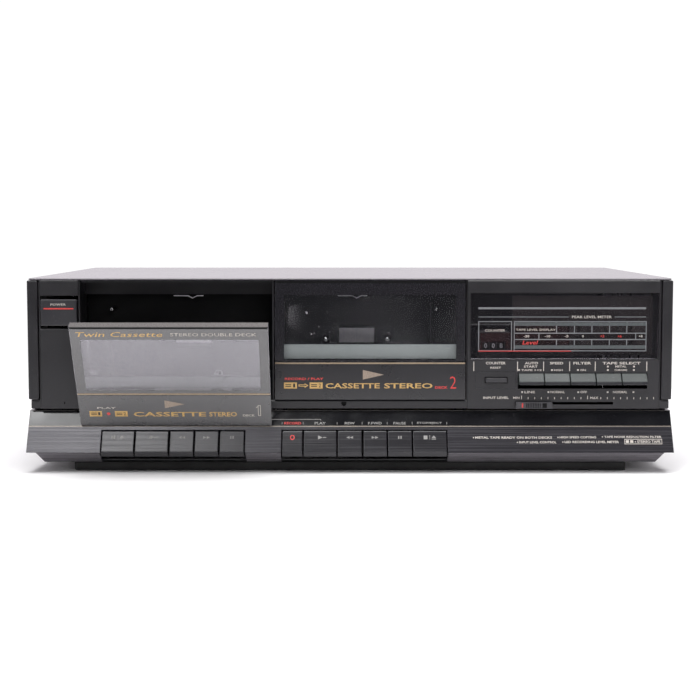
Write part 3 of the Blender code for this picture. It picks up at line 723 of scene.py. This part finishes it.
# ---- The meter window's screen print, with what shows behind it ----
def print_meter():
    """Lines, bands and legends on the window's face, and red filters behind it."""
    pane = upright(0.3)
    left, right = 87.5, 202.3
    box_left = 111.8
    low, high = 82.7, 103.3
    number_z = (92.2, 93.8)
    grey = Marks()
    grey.bar((left, right - 0.6), (111.4, 112.8))
    grey.bar((left, 149.2), (105.9, 106.4))
    grey.bar((180.4, right - 0.6), (105.9, 106.4))
    grey.frame((left, 110.5), (low, high), 0.6)
    grey.frame((box_left, right), (low, high), 0.6)
    grey.bar((box_left, right), (94.7, 95.4))
    grey.bar((box_left, right), (90.4, 91.1))
    for x in (140.9, 153.1, 165.0, 177.0, 188.8):
        grey.bar((x - 0.3, x + 0.3), (95.4, 100.2))
        grey.bar((x - 0.3, x + 0.3), (86.9, 90.4))
        grey.bar((x - 0.3, x + 0.3), (102.4, high))
    for x in (128.9, 194.9):
        grey.bar((x - 0.3, x + 0.3), (91.1, 94.7))
    grey.build("meter_print_lines", pane, METER_GREY, "casing")

    band = Marks()
    band.bar((box_left + 0.6, right - 0.6), (100.1, 102.4))
    band.bar((box_left + 0.6, right - 0.6), (84.4, 86.8))
    band.build("meter_print_bands", pane, METER_BAND, "casing")

    white = Marks()
    white.words("PEAK LEVEL METER", (151.3, 178.4), (105.3, 107.0), weight=LIGHT)
    white.words("COUNTER", (92.0, 105.8), (96.1, 97.7), weight=LIGHT)
    white.words("TAPE LEVEL DISPLAY", (113.2, 140.2), (96.7, 98.1))
    for text, x in (("-20", 120.5), ("-10", 134.8), ("-5", 147.8), ("0", 158.9), ("+8", 198.3)):
        half = 0.62 * len(text)
        white.words(text, (x - half, x + half), number_z, weight=LIGHT)
    white.build("meter_print_legends", pane, CREAM, "casing")

    red = Marks()
    for text, x in (("+3", 172.1), ("+6", 184.0)):
        red.words(text, (x - 1.3, x + 1.3), (92.1, 93.9), weight=MEDIUM)
    red.words("Level", (117.6, 127.6), (87.3, 90.0), lean=0.3, weight=LIGHT)
    red.bar((left, 151.0), (low - 0.1, low + 0.35))
    red.build("meter_print_red", pane, RED, "casing", lift=TOP_INK)

    tint = Marks()
    tint.bar((88.2, 110.0), (88.9, 95.0))
    tint.bar((88.2, 90.3), (83.4, 88.9))
    tint.bar((106.6, 110.0), (83.4, 88.9))
    tint.bar((112.6, 150.0), (83.4, 99.8))
    tint.build("meter_red_filter", upright(2.9), FILTER_RED, "casing", "smoked_clear", 0.0)


def print_counter():
    """Ten digits round each counter wheel. The counter reads 008 at rest."""
    wheel_depth = 13.3
    wheel_radius = 7.2
    centre = spot(0.0, wheel_depth, 86.3)
    for number, low_x in enumerate((90.6, 95.9, 101.2), 1):
        first = 8 if number == 3 else 0
        shapes = []
        for count in range(10):
            turn = Matrix.Rotation(math.radians(36.0 * count), 4, "X")
            about = Matrix.Translation(centre) @ turn @ Matrix.Translation(-centre)
            face = upright(wheel_depth - wheel_radius, about)
            digits = Marks()
            shown = str((first + count) % 10)
            digits.words(shown, (low_x + 1.4, low_x + 3.6), (84.4, 87.8), weight=HEAVY)
            shapes.append(digits.shape(face, INK))
        wheel = f"counter_wheel_{number}"
        piece(f"counter_digits_{number}", joined(shapes), LILAC, wheel)


# ---- Prints and trims on the doors ----
# Places across each door are measured from its left edge, and heights are z with the door shut.
DOOR_PRINTS = {
    # Deck 1's door stands open; its plastic and border take lit copies of deck 2's finishes, its lip a
    # shaded copy, and its cap a painted highlight.
    1: {
        "accent": DOOR_CREAM,
        "border": OPEN_BORDER_LIT_INK,
        "rim": RIM_HIGHLIGHT,
        "lip": LIP_SHADED,
        "trim": (75.7, 76.8),
        "window": (79.2, 120.7),
        "arrow": (58.3, 71.8, 64.4, 71.0),
        "chips": ((6.7, 15.2), (24.0, 32.6), (57.3, 61.9)),
        "words": ((36.6, 85.8), (88.0, 106.9), (57.3, 61.1)),
        "small": ("PLAY", 12.4, 25.2, 63.9, 65.3),
        "deck": (110.9, 119.1, 57.3, 59.1),
    },
    2: {
        "accent": RED,
        "border": BORDER_INK,
        "rim": BORDER_INK,
        "lip": LIP_GREY,
        "trim": (74.0, 75.0),
        "window": (76.8, 121.0),
        "arrow": (60.2, 74.6, 63.3, 69.9),
        "chips": ((6.2, 15.1), (23.8, 32.7), (57.1, 61.3)),
        "words": ((34.6, 71.8), (74.7, 107.9), (57.2, 60.8)),
        "small": ("RECORD / PLAY", 6.8, 33.2, 63.0, 64.6),
        "deck": (109.6, 118.2, 57.0, 58.7),
    },
}


def door_window(deck, face, left, right):
    """The trim under a door's window, the window's printed border and cap (on the open door a painted
    highlight), a band of painted shade under the cap, and the dust on it.
    """
    layout = DOOR_PRINTS[deck]
    body = f"door_{deck}"
    trim = slab(face, (left + 0.2, right - 0.2), layout["trim"], (-0.2, 0.22), 0.12)
    piece(f"{body}_gold_trim", trim, TRIM_GOLD, body)

    border = Marks()
    outer = (left + 0.3, right - 0.3)
    foot = DOOR_SPLIT + 0.6
    inner_left, inner_right = left + 6.4, right - 6.5
    inner_low, inner_top = layout["window"]
    border.bar(outer, (inner_top, RIM_FOOT))
    border.bar(outer, (foot, inner_low))
    border.bar((outer[0], inner_left), (inner_low, inner_top))
    border.bar((inner_right, outer[1]), (inner_low, inner_top))
    border.build(f"{body}_window_border", face, layout["border"], body, "black_plastic", BASE_INK)

    # On the open door the cap takes a light grey, a painted highlight; on the shut door it takes the
    # border ink.
    rim = slab(face, outer, (RIM_FOOT, RIM_FOOT + 0.34), (-4.9, 0.03))
    piece(f"{body}_rim_cap", rim, layout["rim"], body)
    # A black band just under the cap is painted shade beneath it.
    shadow = Marks()
    shadow.bar(outer, (RIM_FOOT - 1.5, RIM_FOOT - 0.1))
    shadow.build(f"{body}_rim_painted_shade", face, INNER_BLACK, body, "black_plastic", OVER_INK)

    dust = Marks()
    dust.bar((inner_left + 0.4, inner_right - 0.4), (inner_low + 0.4, inner_top - 0.4))
    dust.build(f"{body}_window_dust", face, DUST, body, "smoked_clear", LOW_INK)
    if deck == 2:
        haze = Marks()
        outline = ((9.0, 101.0), (9.5, 113.0), (26.0, 118.0), (44.0, 119.0), (44.0, 96.0), (24.0, 92.0))
        haze.polygon([(left + offset, z) for offset, z in outline])
        haze.build(f"{body}_window_haze", face, HEAVY_DUST, body, "smoked_clear", INK)


def door_legends(deck, face, left):
    """The lettering and symbols under a door's window."""
    layout = DOOR_PRINTS[deck]
    body = f"door_{deck}"

    def across(*offsets):
        return tuple(left + offset for offset in offsets)

    arrow = Marks()
    start, tip, low, high = layout["arrow"]
    arrow.polygon([(left + start, low), (left + tip, (low + high) / 2), (left + start, high)])
    arrow.build(f"{body}_arrow", face, BEIGE, body)

    gold = Marks()
    first_chip, second_chip, chip_z = layout["chips"]
    first_word, second_word, word_z = layout["words"]
    chip_middle = sum(chip_z) / 2
    for chip in (first_chip, second_chip):
        gold.bar(across(*chip), chip_z)
    gold.words("CASSETTE", across(*first_word), word_z, weight=STRONG)
    gold.words("STEREO", across(*second_word), word_z, weight=STRONG)
    if deck == 2:
        gold.pointer(*across(16.2, 20.4, 22.9), chip_middle, 0.7, 1.6)
    gold.build(f"{body}_gold_print", face, GOLD, body)

    dark = Marks()
    for chip, text in ((first_chip, "1"), (second_chip, "2")):
        for z in (chip_middle - 0.9, chip_middle + 0.3):
            dark.bar(across(chip[0] + 1.0, chip[0] + 5.0), (z, z + 0.6))
        digit = across(chip[1] - 2.6, chip[1] - 1.2)
        dark.words(text, digit, (chip_middle - 1.3, chip_middle + 1.4), weight=STRONG)
    if deck == 2:
        dark.pointer(*across(16.9, 20.9, 22.0), chip_middle, 0.3, 0.6)
    dark.build(f"{body}_chip_marks", face, DARK_INK, body, lift=TOP_INK)

    accent = Marks()
    text, start, end, low, high = layout["small"]
    accent.words(text, across(start, end), (low, high), weight=STRONG)
    start, end, low, high = layout["deck"]
    accent.words("DECK", across(start, end), (low, high), weight=STRONG)
    if deck == 1:
        # A hollow figure one, with its flag.
        accent.frame(across(121.3, 123.2), (57.8, 66.8), 0.4)
        flag = ((120.0, 64.6), (121.4, 65.4), (121.4, 65.9), (120.0, 65.2))
        accent.polygon([(left + offset, z) for offset, z in flag])
    else:
        accent.words("2", across(119.8, 124.0), (57.0, 65.4), weight=-0.012)
    accent.build(f"{body}_accent_print", face, layout["accent"], body)

    if deck == 1:
        dot = Marks()
        dot.hoop(left + 19.7, chip_middle, 1.2, 0.0)
        dot.build(f"{body}_red_dot", face, RED, body)
        title = Marks()
        title.words("Twin Cassette", across(3.0, 60.5), (123.1, 126.8), lean=0.35)
        title.build(f"{body}_title_gold", face, GOLD, body, lift=TITLE_INK)
        side_title = Marks()
        side_title.words("STEREO DOUBLE DECK", across(66.0, 122.5), (123.6, 126.0))
        side_title.build(f"{body}_title_white", face, DOOR_CREAM, body, lift=TITLE_INK)


def print_door(deck):
    """Everything on one door, and the skin on its holder's lip."""
    middle = DOOR_CENTRES[deck]
    left, right = middle - DOOR_HALF, middle + DOOR_HALF
    turn = DOOR_TURN[deck]
    face = upright(0.0, turn)
    door_window(deck, face, left, right)
    door_legends(deck, face, left)

    body = f"door_{deck}"
    lip = Marks()
    lip.bar((middle - 59.8, middle + 59.8), (77.2, 87.0))
    material = DOOR_PRINTS[deck]["lip"]
    lip.build(f"{body}_holder_lip_skin", upright(5.3, turn), material, body, "grey_green_plastic", LOW_INK)


# ---- Prints on the apron and its keys ----
# Each key's left and right edge, its job, and each job's word with the word's width.
KEY_RANGES = {
    1: ((-169.3, -147.1), (-146.4, -123.8), (-122.8, -106.5), (-105.8, -89.6), (-88.8, -72.1)),
    2: ((-46.2, -32.4), (-31.6, -9.2), (-8.4, 8.0), (9.1, 25.1), (25.8, 42.2), (42.9, 65.9)),
}
KEY_JOBS = {
    1: ("stop", "play", "rewind", "forward", "pause"),
    2: ("record", "play", "rewind", "forward", "pause", "stop"),
}
KEY_WORDS = {
    "record": ("RECORD", 11.6),
    "play": ("PLAY", 7.6),
    "rewind": ("REW", 6.8),
    "forward": ("F.FWD", 9.4),
    "pause": ("PAUSE", 8.6),
    "stop": ("STOP/EJECT", 17.2),
}


def key_symbol(job, x, z):
    """The usual transport symbol, centred on a place."""
    marks = Marks()
    if job == "record":
        marks.hoop(x, z, 1.6, 1.0)
    elif job == "play":
        marks.polygon([(x - 1.4, z - 1.3), (x + 1.6, z), (x - 1.4, z + 1.3)])
        marks.bar((x + 1.8, x + 4.2), (z - 0.25, z + 0.25))
    elif job in ("rewind", "forward"):
        way = -1.0 if job == "rewind" else 1.0
        for start in (-2.3, 0.1):
            tip = [(x + way * start, z - 0.8), (x + way * (start + 2.2), z), (x + way * start, z + 0.8)]
            marks.polygon(tip)
    elif job == "pause":
        for start in (-1.2, 0.4):
            marks.bar((x + start, x + start + 0.8), (z - 0.9, z + 0.9))
    else:
        marks.bar((x - 4.2, x - 1.6), (z - 1.2, z + 1.2))
        marks.bar((x - 0.2, x + 0.1), (z - 1.4, z + 1.4))
        marks.polygon([(x + 1.2, z - 0.4), (x + 4.2, z - 0.4), (x + 2.7, z + 1.3)])
        marks.bar((x + 1.2, x + 4.2), (z - 1.3, z - 0.8))
    return marks


def print_apron():
    """The gloss band, which is partly painted shade, its gold line and its top edge's painted highlight,
    the chin's face lightened as painted light, and the lettering above and on the keys.
    """
    # The dark band above the gold line is partly a gloss finish and partly painted shade cast by the strip
    # and doors above it.
    band = Marks()
    whole_width = (-APRON_HALF, APRON_HALF)
    band.bar(whole_width, (31.6, 41.5))
    band.build("apron_gloss_and_shade_band", APRON, APRON_GLOSS_AND_SHADE, "casing", "dark_aluminium", UNDERCOAT)
    line = Marks()
    line.bar(whole_width, (31.05, 31.6))
    line.build("apron_gold_line", APRON, LINE_GOLD, "casing", "brass")
    # A light line along the apron's top edge: a painted highlight.
    edge = Marks()
    edge.bar(whole_width, (41.3, 41.65))
    edge.build("apron_top_edge_highlight", APRON, RIM_HIGHLIGHT, "casing", "dark_aluminium", BASE_INK)

    # The chin's face is lighter than the apron: painted light for the floor's reflection.
    chin = Marks()
    # Each stretch has its ends at the foot and at the top. The outer ends lean.
    for foot_low, foot_high, x_low, x_high in (
        (-209.9, -170.4, -213.3, -170.4),
        (-71.0, -47.2, -71.0, -47.2),
        (66.9, 209.9, 66.9, 213.3),
    ):
        chin.polygon([(foot_low, 6.4), (foot_high, 6.4), (x_high, 14.3), (x_low, 14.3)])
    chin.build("apron_chin_face", CHIN, CHIN_LIT_METAL, "casing", "dark_aluminium", UNDERCOAT)

    cream = Marks()
    dim = Marks()
    red = Marks()
    word_z = (32.5, 34.1)
    symbol_z = 24.3
    for deck, ranges in KEY_RANGES.items():
        for number, ((low, high), job) in enumerate(zip(ranges, KEY_JOBS[deck]), 1):
            middle = (low + high) / 2
            text, width = KEY_WORDS[job]
            target, material = (red, RED) if job == "record" else (dim, DIM_CREAM)
            target.words(text, (middle - width / 2, middle + width / 2), word_z, weight=MEDIUM)
            dim.bar((high + 0.2, high + 0.5), word_z)
            key = f"deck_{deck}_key_{number}"
            key_symbol(job, middle, symbol_z).build(f"{key}_symbol", KEYTOPS, material, key)
        first_left = ranges[0][0]
        dim.bar((first_left - 0.5, first_left - 0.2), word_z)
    dim.bar((-54.0, -19.9), (35.6, 35.9))
    dim.bar((-20.2, -19.9), (35.1, 35.9))
    rows = (
        ("METAL TAPE READY ON BOTH DECKS", 85.4, 137.8, 23.4, 24.8),
        ("HIGH SPEED COPYING", 143.0, 167.9, 23.6, 25.0),
        ("TAPE NOISE REDUCTION FILTER", 173.4, 212.4, 23.9, 25.2),
        ("INPUT LEVEL CONTROL", 115.2, 140.6, 20.4, 21.8),
        ("LED RECORDING LEVEL METER", 146.2, 183.2, 20.6, 22.0),
        ("STEREO TAPE", 195.6, 211.4, 20.7, 22.3),
    )
    for text, left, right, low, high in rows:
        cream.words(text, (left, right), (low, high), weight=BOLD)
        cream.bar((left - 1.5, left - 0.8), (low + 0.3, low + 1.0))
    cream.frame((187.0, 212.6), (19.9, 23.2), 0.35)
    cream.bar((187.9, 190.0), (20.7, 22.4))
    cream.bar((190.9, 193.0), (20.7, 22.4))
    cream.build("apron_legends", APRON, CREAM, "casing")
    dim.build("apron_key_legends", APRON, DIM_CREAM, "casing")
    red.build("apron_record_legend", APRON, RED, "casing")


# ---- Small fittings in the bays ----
def fit_bays():
    """A bright plate, a leaf spring, a sensor tip and two spindle tips in each bay."""
    for deck, mech in MECH_CENTRES.items():
        plate = slab(upright(27.8), (mech - 12.2, mech + 12.3), (86.6, 96.8), (0.02, 0.35), 0.12)
        piece(f"deck_{deck}_bright_plate", plate, LILAC, "casing")
        bend = ((-13.0, 119.4), (-3.0, 119.3), (0.0, 117.7), (3.0, 119.3), (7.5, 119.4))
        thick = 0.5
        strip = []
        for ends in zip(bend, bend[1:]):
            corners = []
            for x, z in ends:
                for height in (z, z + thick):
                    corners += [spot(mech + x, y, height) for y in (21.6, 24.8)]
            strip.append(brick(corners))
        piece(f"deck_{deck}_leaf_spring", joined(strip), LILAC, "casing", 10.0)
        sensor = mech + (SENSOR_OFFSET if mech < DOOR_CENTRES[deck] else -SENSOR_OFFSET)
        profile = [(1.25, 0.0), (1.25, 0.3), (0.8, 0.8), (0.0, 1.0)]
        tip = lathe(spot(sensor, 13.9, 110.7), (0, -1, 0), profile, 20)
        piece(f"deck_{deck}_sensor_tip", tip, STEEL, "casing")
        for name, side in (("left", -1), ("right", 1)):
            centre = spot(mech + side * SPINDLE_HALF_PITCH, 9.7, 90.0)
            profile = [(1.55, -0.4), (1.5, 0.1), (0.9, 0.6), (0.0, 0.75)]
            cap = lathe(centre, (0, -1, 0), profile, 20)
            spindle = f"deck_{deck}_spindle_{name}"
            piece(f"{spindle}_tip", cap, STEEL, spindle)


# ---- Back, sides and underside ----
def fit_case():
    """Screws, foam strips, the line sockets' metal and collars, and the legends on the back."""
    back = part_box("rear_panel")[1].y
    heads = []
    for x in (-208.0, -70.0, 70.0, 208.0):
        heads.append(screw(Vector((x * MM, back, 123.0 * MM)), (0, 1, 0)))
        heads.append(screw(Vector((x * MM, back, 14.0 * MM)), (0, 1, 0)))
    piece("rear_screws", joined(heads), ZINC, "casing")

    cover_low, cover_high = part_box("top_cover")
    heads = []
    for side, x in ((-1, cover_low.x), (1, cover_high.x)):
        for y in (70.0, 225.0):
            heads.append(screw(spot(0, y, 0) + Vector((x, 0, 24.0 * MM)), (side, 0, 0), 2.9))
    piece("cover_screws", joined(heads), DARK_SCREW, "casing")

    # Foam strips close the slit between the back panel and the cover.
    strips = []
    for x in ((-217.3, -212.0), (212.0, 217.3)):
        strips.append(slab(upright(260.0), x, (18.0, 128.0), (0.0, 1.0)))
    piece("rear_edge_foam", joined(strips), INNER_BLACK, "casing")

    barrel = [(4.05, 1.0), (4.25, 1.2), (4.25, 6.6), (4.05, 7.0), (1.8, 7.1)]
    collar = [(4.2, 0.0), (5.2, 0.1), (5.2, 0.9), (4.9, 1.2), (4.2, 1.25)]
    barrels = []
    collars = {"red": [], "white": []}
    for x in (109.0, 139.0):
        for z, colour in ((66.5, "red"), (77.5, "white")):
            centre = spot(x, 265.5, z)
            barrels.append(lathe(centre, (0, 1, 0), barrel))
            collars[colour].append(lathe(centre, (0, 1, 0), collar))
    piece("line_socket_shells", joined(barrels), SOCKET_PLATING, "casing")
    piece("line_socket_red_collars", joined(collars["red"]), RED, "casing")
    piece("line_socket_white_collars", joined(collars["white"]), LILAC, "casing")

    # On the back, places across run the other way.
    rear = Plane(0.0, 0.0, (0.0, 1.0), (1.0, 0.0))
    rear.origin = Vector((0.0, back, 0.0))
    rear.right = Vector((-1.0, 0.0, 0.0))
    marks = Marks()
    marks.words("LINE IN", (-145.5, -132.5), (86.0, 88.2))
    marks.words("LINE OUT", (-116.5, -101.5), (86.0, 88.2))
    marks.words("L", (-126.0, -124.6), (76.4, 78.6))
    marks.words("R", (-126.2, -124.5), (65.4, 67.6))
    marks.words("AC IN", (169.0, 179.0), (49.0, 51.0))
    marks.frame((-156.0, -92.0), (56.0, 92.0), 0.4)
    marks.build("rear_legends", rear, CREAM, "casing")


print_fascia()
dress_controls()
print_meter()
print_counter()
for deck_number in (1, 2):
    print_door(deck_number)
print_apron()
fit_bays()
fit_case()


# ---- Floor, lights and camera ----
def build_stage():
    """A plain pale floor."""
    mesh = bpy.data.meshes.new("floor")
    near, far, side = FRONT - 0.5, 0.40, 1.3
    corners = [(-side, near, 0), (side, near, 0), (side, far, 0), (-side, far, 0)]
    mesh.from_pydata(corners, [], [(0, 1, 2, 3)])
    floor = bpy.data.objects.new("floor", mesh)
    bpy.context.scene.collection.objects.link(floor)
    recipe = Recipe("floor_white")
    base = recipe.mixed(recipe.noise(3.0, 2.0), (0.88, 0.875, 0.88), (0.92, 0.915, 0.92))
    recipe.link(base, recipe.shader.inputs["Base Color"])
    recipe.fixed(Roughness=0.7, Specular_IOR_Level=0.2)
    floor.data.materials.append(recipe.material)


def area_light(name, place, target, size, power):
    """A rectangular lamp, in metres and watts, turned towards a target."""
    light = bpy.data.lights.new(name, "AREA")
    light.shape = "RECTANGLE"
    light.size, light.size_y = size
    light.energy = power
    lamp = bpy.data.objects.new(name, light)
    lamp.location = place
    lamp.rotation_euler = (Vector(target) - Vector(place)).to_track_quat("-Z", "Y").to_euler()
    bpy.context.scene.collection.objects.link(lamp)


def build_light():
    """One large lamp overhead, two smaller ones at the left front and a low fill from the right front."""
    area_light("overhead", (0.1, -0.25, 1.5), (0.0, -0.05, 0.0), (1.5, 0.9), 30.0)
    area_light("left_key", (-0.47, -1.05, 1.42), (-0.15, -0.12, 0.05), (0.36, 0.5), 4.0)
    area_light("front_top", (-0.57, -1.05, 1.5), (-0.1, -0.1, 0.05), (0.86, 0.7), 6.0)
    area_light("front_fill", (0.7, -1.9, 0.85), (0.0, -0.1, 0.07), (1.2, 0.5), 6.5)


def build_world():
    """A white room behind, dark in front. The camera itself sees plain white."""
    world = bpy.data.worlds.new("studio")
    bpy.context.scene.world = world
    world.use_nodes = True
    tree = world.node_tree
    tree.nodes.clear()
    place = tree.nodes.new("ShaderNodeTexCoord")
    parts = tree.nodes.new("ShaderNodeSeparateXYZ")
    tree.links.new(place.outputs["Generated"], parts.inputs[0])
    behind = tree.nodes.new("ShaderNodeMapRange")
    behind.inputs["From Min"].default_value = -0.15
    behind.inputs["From Max"].default_value = 0.35
    tree.links.new(parts.outputs["Y"], behind.inputs["Value"])
    tone = tree.nodes.new("ShaderNodeMix")
    tone.data_type = "RGBA"
    tone.inputs[6].default_value = (0.022, 0.022, 0.025, 1.0)
    tone.inputs[7].default_value = (1.0, 0.955, 1.0, 1.0)
    tree.links.new(behind.outputs["Result"], tone.inputs[0])
    seen = tree.nodes.new("ShaderNodeBackground")
    seen.inputs["Color"].default_value = (1.0, 1.0, 1.0, 1.0)
    seen.inputs["Strength"].default_value = 1.05
    unseen = tree.nodes.new("ShaderNodeBackground")
    tree.links.new(tone.outputs[2], unseen.inputs["Color"])
    path = tree.nodes.new("ShaderNodeLightPath")
    both = tree.nodes.new("ShaderNodeMixShader")
    tree.links.new(path.outputs["Is Camera Ray"], both.inputs[0])
    tree.links.new(unseen.outputs[0], both.inputs[1])
    tree.links.new(seen.outputs[0], both.inputs[2])
    out = tree.nodes.new("ShaderNodeOutputWorld")
    tree.links.new(both.outputs[0], out.inputs["Surface"])


def build_camera():
    """Straight ahead of the deck, looking slightly down."""
    distance, height, tilt_down = 1.0, 0.1672, 4.78
    data = bpy.data.cameras.new("camera")
    data.lens = 75.6
    data.sensor_width = 36.0
    camera = bpy.data.objects.new("camera", data)
    camera.location = (0.0, FRONT - distance, height)
    camera.rotation_euler = (math.radians(90.0 - tilt_down), 0.0, 0.0)
    bpy.context.scene.collection.objects.link(camera)
    bpy.context.scene.camera = camera


build_stage()
build_light()
build_world()
build_camera()
bpy.context.scene.view_settings.view_transform = "Standard"

bpy.context.view_layer.update()
